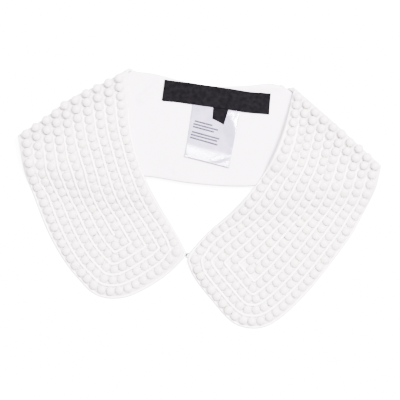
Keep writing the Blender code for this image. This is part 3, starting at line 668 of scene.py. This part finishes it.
def rounded_wall(loop, inner, place, thickness):
    """Vertices and faces of a wall with a rounded rim. place puts plan points at a height in the wall."""
    inward = rim_inward(loop)
    plan = np.vstack([loop + ROUNDING * inward, inner])
    faces = triangles(plan, len(loop))
    upper, lower = place(plan, thickness), place(plan, 0.0)
    rings = [place(loop + ROUNDING * RIM_SHARE * inward, thickness * height) for height in RIM_RINGS]
    base, count = len(plan), len(loop)
    faces += [tuple(base + i for i in reversed(face)) for face in faces]
    levels = [0, 2 * base, 2 * base + count, base]
    for above, below in zip(levels, levels[1:]):
        faces += band(above, below, count)
    return np.vstack([upper, lower, *rings]), faces


def corner_shift(before, after):
    """How far the corner between two sides moves. A side has points, inward vectors and its shift."""
    normals = np.array([before[1][-1], after[1][0]])
    return np.linalg.solve(normals, [before[2], after[2]])


class Back:
    """The back panel's outline in plan, between the seams of the two fronts."""

    def __init__(self, left, right):
        left_seam, right_seam = left.seam(), right.seam()
        self.outer = smooth_curve([left_seam[0], *BACK_OUTER_EDGE, right_seam[0]], BACK_LINE_STEP)
        self.neck = smooth_curve([left_seam[-1], *BACK_NECK_EDGE, right_seam[-1]], BACK_LINE_STEP)
        self.segments = [
            (self.outer, False),
            (right_seam, True),
            (self.neck[::-1], False),
            (left_seam[::-1], True),
        ]

    def outline(self, inset, past):
        """The outline this far inside the edges and past the seams."""
        sides = []
        for path, is_seam in self.segments:
            points = resampled(path, CLOTH_STEP)
            sides.append((points, left_of(points), -past if is_seam else inset))
        pieces = []
        for i, (points, inward, distance) in enumerate(sides):
            start_shift = corner_shift(sides[i - 1], sides[i])
            end_shift = corner_shift(sides[i], sides[(i + 1) % len(sides)])
            at_start = 1.0 - ease(np.linalg.norm(points - points[0], axis=1) / CORNER_EASE)
            at_end = 1.0 - ease(np.linalg.norm(points - points[-1], axis=1) / CORNER_EASE)
            moved = points + inward * (distance * (1.0 - at_start - at_end))[:, None]
            moved += np.outer(at_start, start_shift) + np.outer(at_end, end_shift)
            pieces.append(moved[:-1])
        return np.vstack(pieces)

    def line(self, fraction, end):
        """A line this fraction of the way from the outer edge to the neck, this far clear of the seams."""
        outer, neck = at_shares(self.outer, LINE_POINTS), at_shares(self.neck, LINE_POINTS)
        path = outer + (neck - outer) * fraction
        length = lengths_along(path)[-1]
        return at_stations(path, np.linspace(end, length - end, LINE_POINTS))


def lining_place(plan, height):
    rise = lining_rise(plan) + ridge_rise(plan, LINING_CREASES)
    return np.column_stack([plan, LINING_BOTTOM + rise + height])


def shell_place(plan, height):
    return np.column_stack([plan, np.full(len(plan), BEADS_TOP + height)])


def care_rise(plan):
    """Height of the care label's curled free end and of its creases."""
    start, end = np.array(CARE_CORNERS[:2])
    away = (plan - start) @ turned_left(unit(end - start))
    curl = CARE_CURL * np.clip(1.0 - away / CARE_CURL_REACH, 0.0, 1.0) ** CARE_CURL_POWER
    return curl + ridge_rise(plan, CARE_CREASES)


def flap_rise(plan):
    """The brand label's folded ends lie on the lining."""
    return np.zeros(len(plan))


def brand_rise(plan):
    """Height of the brand label, which lies on its folded ends, the care label and the size tab."""
    over_care = 1.0 - ease(beyond(plan[:, 0], *BRAND_LIFT_SPAN) / BRAND_LIFT_SLOPE)
    return TAPE + LABEL_GAP + (BRAND_LIFT - TAPE - LABEL_GAP) * over_care


def size_rise(plan):
    """Height of the size tab, which lies on the care label."""
    return care_rise(plan) + TAPE + LABEL_GAP


def label_place(rise):
    """Puts a label's plan points on the lining, raised by its own rise."""

    def place(plan, height):
        return np.column_stack([plan, LINING_TOP + LABEL_GAP + lining_rise(plan) + rise(plan) + height])

    return place


def polygon(corners, step):
    """A closed outline through the corners, with points about a step apart along its sides."""
    corners = np.array(corners)
    sides = [resampled(np.vstack([a, b]), step)[:-1] for a, b in zip(corners, np.roll(corners, -1, axis=0))]
    return anticlockwise(np.vstack(sides))


def brand_outline():
    line = smooth_curve(BRAND_LINE, LABEL_STEP)
    aside = left_of(line) * BRAND_WIDTH / 2
    return polygon(np.vstack([line + aside, (line - aside)[::-1]]), LABEL_STEP)


def angles_round(count):
    """This many angles, evenly round a circle."""
    return np.arange(count) * 2 * np.pi / count


def bead_form(around, along):
    """A round bead of radius 1 with a sunk hole at each end of its first axis, as vertices and faces."""
    hole = math.asin(BEAD_HOLE)
    turns = np.linspace(hole, np.pi - hole, along + 1)
    profile = [(math.cos(turn), math.sin(turn)) for turn in turns]
    sunk = (math.cos(hole) - BEAD_HOLE_DEPTH, BEAD_HOLE_TAPER * math.sin(hole))
    profile = [sunk, *profile, (-sunk[0], sunk[1])]
    angles = angles_round(around)
    vertices = [(x, r * math.cos(angle), r * math.sin(angle)) for x, r in profile for angle in angles]
    last = (len(profile) - 1) * around
    faces = []
    for ring in range(0, last, around):
        faces += band(ring, ring + around, around)
    faces.append(tuple(range(around)))
    faces.append(tuple(last + i for i in reversed(range(around))))
    return np.array(vertices), faces


def scattered(form, places, ahead, up, half_heights, rng):
    """Beads at the places, their holes along ahead, each a little off in place, tilt and size."""
    vertices, faces = form
    places = places + rng.uniform(-BEAD_JITTER, BEAD_JITTER, places.shape) * (1.0 - np.abs(up))
    ahead = unit(ahead + rng.uniform(-BEAD_TILT, BEAD_TILT, ahead.shape))
    across = unit(np.cross(up, ahead))
    normal = np.cross(ahead, across) * half_heights[:, None] / BEAD_HALF_WIDTH
    sizes = BEAD_HALF_WIDTH * rng.uniform(*BEAD_SIZES, len(places))
    axes = np.stack([ahead, across, normal], axis=1)
    made = places[:, None] + sizes[:, None, None] * np.einsum("vk,nkx->nvx", vertices, axes)
    count = len(vertices)
    all_faces = [tuple(n * count + i for i in face) for n in range(len(places)) for face in faces]
    return made.reshape(-1, 3), all_faces


def tube(path, up, radii):
    """A closed tube along a path in space. radii has a row for each point and a column for each side."""
    ahead = headings(path)
    across = unit(np.cross(up, ahead))
    normal = np.cross(ahead, across)
    count, sides = radii.shape
    turns = angles_round(sides)[None, :, None]
    ring = np.cos(turns) * across[:, None] + np.sin(turns) * normal[:, None]
    vertices = (path[:, None] + radii[..., None] * ring).reshape(-1, 3)
    last = (count - 1) * sides
    faces = []
    for low in range(0, last, sides):
        for i in range(sides):
            j = (i + 1) % sides
            faces.append((low + i, low + j, low + sides + j, low + sides + i))
    faces.append(tuple(reversed(range(sides))))
    faces.append(tuple(last + i for i in range(sides)))
    return vertices, faces


def cord(path, up, radius):
    """A cord of two strands, twisted."""
    along = summed(step_lengths(path))
    lobes = np.cos(2 * (angles_round(CORD_SIDES)[None] - np.pi * along[:, None] / CORD_LAY))
    return tube(path, up, radius * (1.0 + CORD_LOBES * (lobes - 1.0) / 2))


def thread(path, up):
    return tube(path, up, np.full((len(path), THREAD_SIDES), THREAD_RADIUS))


def joined(shapes):
    """Several shapes as one list of vertices and faces."""
    vertices, faces, base = [], [], 0
    for points, polygons in shapes:
        vertices.append(points)
        faces += [tuple(base + i for i in face) for face in polygons]
        base += len(points)
    return np.vstack(vertices), faces


def centred(points):
    """Points in metres from the middle of the collar's plan."""
    return (np.asarray(points) - np.array([*PLAN_MIDDLE, 0.0])) * METRE


def in_scene(name, data):
    """A new object with this data, linked to the scene."""
    made = bpy.data.objects.new(name, data)
    bpy.context.scene.collection.objects.link(made)
    return made


def piece(name, shape, finish, slot, replaced=()):
    """A smooth piece of the collar, with its material, riding on the collar's one body."""
    vertices, faces = shape
    data = bpy.data.meshes.new(name)
    data.from_pydata(centred(vertices).tolist(), [], faces)
    data.validate()
    data.polygons.foreach_set("use_smooth", [True] * len(data.polygons))
    data.materials.append(finish)
    made = in_scene(name, data)
    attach(made, "root")
    if replaced:
        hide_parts(*replaced)
    return made


class Nodes:
    """A material's nodes, made one after another."""

    def __init__(self, name, roughness, metallic=0.0):
        self.material = bpy.data.materials.new(name)
        self.material.use_nodes = True
        self.tree = self.material.node_tree
        self.shader = self.tree.nodes["Principled BSDF"]
        self.set("Roughness", roughness)
        self.set("Metallic", metallic)
        self.place = self.add("ShaderNodeTexCoord").outputs["Object"]

    def add(self, kind, **settings):
        """A new node, with these of its inputs or properties set."""
        node = self.tree.nodes.new(kind)
        for name, value in settings.items():
            if name in node.inputs:
                node.inputs[name].default_value = value
            else:
                setattr(node, name, value)
        return node

    def link(self, source, target):
        self.tree.links.new(source, target)

    def set(self, name, value):
        self.shader.inputs[name].default_value = value

    def colours(self, factor, stops):
        """The shader's base colour from a ramp of (position, colour) stops."""
        ramp = self.add("ShaderNodeValToRGB")
        elements = ramp.color_ramp.elements
        while len(elements) < len(stops):
            elements.new(0.5)
        for element, (position, colour) in zip(elements, stops):
            element.position = position
            element.color = (*colour, 1.0)
        self.link(factor, ramp.inputs["Fac"])
        self.link(ramp.outputs["Color"], self.shader.inputs["Base Color"])

    def noise(self, size_mm, detail=2.0):
        node = self.add("ShaderNodeTexNoise", Scale=1.0 / (size_mm * METRE), Detail=detail)
        self.link(self.place, node.inputs["Vector"])
        return node.outputs["Fac"]

    def threads(self, pitch_mm, direction):
        scale = WAVE_PITCH / (pitch_mm * METRE)
        node = self.add("ShaderNodeTexWave", bands_direction=direction, Distortion=0.6, Scale=scale)
        node.inputs["Detail Scale"].default_value = 2.0
        self.link(self.place, node.inputs["Vector"])
        return node.outputs["Fac"]

    def combined(self, operation, a, b):
        node = self.add("ShaderNodeMath", operation=operation)
        self.link(a, node.inputs[0])
        self.link(b, node.inputs[1])
        return node.outputs["Value"]

    def bump(self, height, strength, distance_mm):
        node = self.add("ShaderNodeBump", Strength=strength, Distance=distance_mm * METRE)
        self.link(height, node.inputs["Height"])
        self.link(node.outputs["Normal"], self.shader.inputs["Normal"])


def cloth_finish(name, light, dark, pitch_mm, roughness):
    """Woven cloth: crossing threads, and a soft change of colour across it."""
    nodes = Nodes(name, roughness)
    nodes.colours(nodes.noise(size_mm=14.0), [(0.35, dark), (0.65, light)])
    weave = nodes.combined("MULTIPLY", nodes.threads(pitch_mm, "X"), nodes.threads(pitch_mm, "Y"))
    unevenness = nodes.noise(size_mm=5.0)
    nodes.bump(nodes.combined("ADD", weave, unevenness), strength=0.35, distance_mm=0.12)
    nodes.set("Sheen Weight", 0.1)
    nodes.set("Specular IOR Level", 0.25)
    return nodes.material


def bead_finish():
    """Glossy white beads, each a little warmer or cooler than the next."""
    nodes = Nodes("bead_white", roughness=0.45)
    cells = nodes.add("ShaderNodeTexVoronoi", Scale=1.0 / (BEAD_PITCH * METRE))
    nodes.link(nodes.place, cells.inputs["Vector"])
    part = nodes.add("ShaderNodeSeparateColor")
    nodes.link(cells.outputs["Color"], part.inputs["Color"])
    stops = [
        (0.0, (0.70, 0.665, 0.675)),
        (0.4, (0.72, 0.685, 0.695)),
        (0.75, (0.72, 0.695, 0.685)),
        (1.0, (0.72, 0.695, 0.66)),
    ]
    nodes.colours(part.outputs["Red"], stops)
    nodes.bump(nodes.noise(size_mm=1.1), strength=0.2, distance_mm=0.08)
    nodes.set("Subsurface Weight", 0.6)
    nodes.set("Subsurface Radius", (1.0, 1.0, 1.0))
    nodes.set("Subsurface Scale", 2.0 * METRE)
    return nodes.material


def satin_finish(name, light, dark, roughness, specular):
    """Satin: long fine threads one way, with gloss."""
    nodes = Nodes(name, roughness)
    nodes.colours(nodes.noise(size_mm=9.0), [(0.3, dark), (0.7, light)])
    nodes.bump(nodes.threads(0.3, "DIAGONAL"), strength=0.2, distance_mm=0.05)
    nodes.set("Specular IOR Level", specular)
    return nodes.material


def black_tape_finish():
    """Woven black tape: fine ribs across it, and a dusting of lighter fibres."""
    nodes = Nodes("black_woven_tape", roughness=0.75)
    stops = [(0.3, (0.007, 0.0067, 0.008)), (0.8, (0.016, 0.015, 0.018))]
    nodes.colours(nodes.noise(size_mm=3.0, detail=6.0), stops)
    weave = nodes.combined("ADD", nodes.threads(0.45, "X"), nodes.threads(0.6, "Y"))
    nodes.bump(weave, strength=0.4, distance_mm=0.08)
    nodes.set("Specular IOR Level", 0.1)
    return nodes.material


def wire_finish():
    nodes = Nodes("dark_wire", roughness=0.4, metallic=1.0)
    stops = [(0.3, (0.015, 0.015, 0.015)), (0.8, (0.04, 0.04, 0.038))]
    nodes.colours(nodes.noise(size_mm=1.5), stops)
    nodes.bump(nodes.noise(size_mm=0.6), strength=0.2, distance_mm=0.02)
    return nodes.material


def rules_finish():
    nodes = Nodes("grey_print", roughness=0.7)
    stops = [(0.3, (0.05, 0.05, 0.07)), (0.7, (0.13, 0.12, 0.16))]
    nodes.colours(nodes.noise(size_mm=0.9, detail=3.0), stops)
    return nodes.material


def trim_pieces(part, node, form, rows, cords, finishes, rng):
    """Beads on threads, and cords. A row has its beads' middles, headings, ups and half heights."""
    beads = [scattered(form, *row, rng) for row in rows]
    threads = [thread(middles, up) for middles, _, up, _ in rows]
    piece("beads_" + part, joined(beads), finishes["beads"], "beads", [node])
    piece("threads_" + part, joined(threads), finishes["cord"], "beads", [node])
    piece("cords_" + part, joined(cords), finishes["cord"], "beads", [node])


def front_pieces(side, front, finishes, rng):
    """A front's cloth, beads, threads and cords."""
    node = "front_" + side
    loop = front.outline()
    cloth = piece("cloth_" + node, front.cloth(), finishes["cloth"], "beads", [node])
    rows, cords = [], []
    for row in front.bead_rows():
        below, ahead, up = front.frames(row, headings(row))
        half_heights = (BEAD_RISE - front.swell(row) * BEAD_SEAT / PADDING) / 2
        middles = below + up * (WALL + BEAD_RISE - half_heights)[:, None]
        rows.append((middles, ahead, up, half_heights))
    edge_line = front.up_to_turn(front.offset(front.edge, EDGE_CORD_INSET), CORD_LAST)
    lines = [(edge_line, EDGE_CORD_RADIUS)] + [(line, CORD_RADIUS) for line in front.cord_lines()]
    for line, radius in lines:
        line = front.stepped(line, *CORD_STEPS)
        below, _, up = front.frames(line, headings(line))
        sunk = 1.0 - ease(-front.to_fold(line)[1] / CORD_SINK_LENGTH)
        lift = WALL + front.swell(line) + CORD_LIFT - CORD_SINK * sunk
        cords.append(cord(below + up * lift[:, None], up, radius))
    trim_pieces(node, node, bead_form(*BEAD_FACES), rows, cords, finishes, rng)


def back_pieces(back, finishes, rng):
    """The back's cloth with the beads and cords under it, and its lining."""
    loop = back.outline(0.0, -SEAM)
    shell = rounded_wall(loop, lattice(loop, CLOTH_STEP, CLOTH_STEP / 2), shell_place, SHELL)
    cloth = piece("cloth_back", shell, finishes["cloth"], "beads", ["shell_back"])
    down = [0.0, 0.0, -1.0]
    rows, cords = [], []
    for k in range(2 * ROWS):
        row = evenly_spaced(back.line((k + 0.5) / (2 * ROWS), BACK_ROW_END), BEAD_PITCH)
        half_heights = np.full(len(row), BEAD_RISE / 2)
        middles = np.column_stack([row, half_heights])
        rows.append((middles, headings(middles), np.tile(down, (len(row), 1)), half_heights))
    for k in range(1, 2 * ROWS):
        line = resampled(back.line(k / (2 * ROWS), BACK_CORD_END), BACK_CORD_STEP)
        line = np.column_stack([line, np.full(len(line), BEADS_TOP - CORD_LIFT)])
        cords.append(cord(line, np.tile(down, (len(line), 1)), CORD_RADIUS))
    trim_pieces("back", "shell_back", bead_form(*BACK_BEAD_FACES), rows, cords, finishes, rng)
    loop = back.outline(LINING_INSET, -SEAM)
    lining = rounded_wall(loop, lattice(loop, LINING_STEP, LINING_STEP), lining_place, LINING)
    lining = piece("lining_inner", lining, finishes["lining"], "lining", ["lining_back"])


def tape(loop, rise):
    """A label's vertices and faces."""
    return rounded_wall(loop, lattice(loop, LABEL_STEP, LABEL_STEP / 2), label_place(rise), TAPE)


def label_pieces(finishes):
    """The three labels, and the rules on the care label."""
    labels = [
        ("care", polygon(CARE_CORNERS, LABEL_STEP), care_rise, "satin", CARE_FLAT),
        ("brand", brand_outline(), brand_rise, "black_tape", BRAND_FLAT),
        ("size", polygon(SIZE_CORNERS, LABEL_STEP), size_rise, "black_tape", SIZE_FLAT),
    ]
    flaps = [tape(polygon(corners, LABEL_STEP), flap_rise) for corners in BRAND_FLAPS]
    for name, loop, rise, slot, flat_mm in labels:
        shape = joined([tape(loop, rise), *(flaps if name == "brand" else [])])
        label = piece(name + "_label", shape, finishes[slot], slot, ["label_" + name])
        flat = tuple(side * METRE for side in flat_mm)
        area = min(area_of(loop) * METRE**2, flat[0] * flat[1])
    rules = []
    place = label_place(care_rise)
    for start, end in CARE_RULES:
        line = resampled(np.array([start, end]), LABEL_STEP)
        radii = np.tile([RULE_WIDTH / 2, RULE_RISE / 2] * 2, (len(line), 1))
        rules.append(tube(place(line, TAPE + RULE_RISE), np.tile([0.0, 0.0, 1.0], (len(line), 1)), radii))
    piece("rules_care_label", joined(rules), finishes["rules"], "satin")


def studio():
    """A white floor, a soft sky, lamps at the upper right and behind the neck, and a camera overhead."""
    bpy.ops.mesh.primitive_plane_add(size=FLOOR_WIDTH * METRE, location=(0.0, 0.0, -FLOOR_DROP * METRE))
    floor = bpy.context.object
    floor.name = "floor"
    nodes = Nodes("white_floor", roughness=0.9)
    nodes.colours(nodes.noise(size_mm=300.0), [(0.0, (0.93, 0.93, 0.93)), (1.0, (0.95, 0.95, 0.95))])
    nodes.set("Emission Color", (1.0, 1.0, 1.0, 1.0))
    nodes.set("Emission Strength", FLOOR_GLOW)
    floor.data.materials.append(nodes.material)
    floor.visible_diffuse = False

    world = bpy.data.worlds.new("studio")
    world.use_nodes = True
    sky = world.node_tree.nodes["Background"]
    sky.inputs["Color"].default_value = (*LIGHT_TINT, 1.0)
    sky.inputs["Strength"].default_value = SKY_STRENGTH
    bpy.context.scene.world = world

    for name, (place, size, power) in LIGHTS.items():
        data = bpy.data.lights.new(name, "AREA")
        data.shape = "DISK"
        data.size = size * METRE
        data.energy = power
        data.color = LIGHT_TINT
        light = in_scene(name, data)
        light.location = Vector(place) * METRE
        light.rotation_euler = (-light.location).to_track_quat("-Z", "Y").to_euler()

    data = bpy.data.cameras.new("camera")
    data.lens = CAMERA_LENS
    camera = in_scene("camera", data)
    camera.location = [length * METRE for length in (*CAMERA_PLACE, CAMERA_HEIGHT)]
    bpy.context.scene.camera = camera
    view = bpy.context.scene.view_settings
    view.view_transform = "AgX"
    view.look = "AgX - High Contrast"
    view.exposure = EXPOSURE


finishes = {
    "cloth": cloth_finish(
        "white_cloth", light=(0.76, 0.745, 0.75), dark=(0.74, 0.73, 0.74), pitch_mm=0.55, roughness=0.85
    ),
    "lining": cloth_finish(
        "white_lining", light=(0.80, 0.775, 0.81), dark=(0.785, 0.76, 0.80), pitch_mm=0.4, roughness=0.8
    ),
    "beads": bead_finish(),
    "cord": satin_finish(
        "white_satin_cord", light=(0.94, 0.915, 0.92), dark=(0.91, 0.885, 0.89), roughness=0.4, specular=0.5
    ),
    # The care label is white satin: its dark lilac-grey base colour is painted shade over the whole label,
    # and only its gloss brightens it
    "satin": satin_finish(
        "white_satin_ribbon_painted_shade", light=(0.37, 0.36, 0.45), dark=(0.30, 0.29, 0.38), roughness=0.22, specular=1.0
    ),
    "black_tape": black_tape_finish(),
    "rules": rules_finish(),
}
rng = np.random.default_rng(BEAD_SEED)
left, right = Front("left"), Front("right")
back_pieces(Back(left, right), finishes, rng)
front_pieces("left", left, finishes, rng)
front_pieces("right", right, finishes, rng)
label_pieces(finishes)
wire = wire_finish()
for name in ("hook", "eye"):
    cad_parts[name].data.materials.clear()
    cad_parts[name].data.materials.append(wire)
studio()
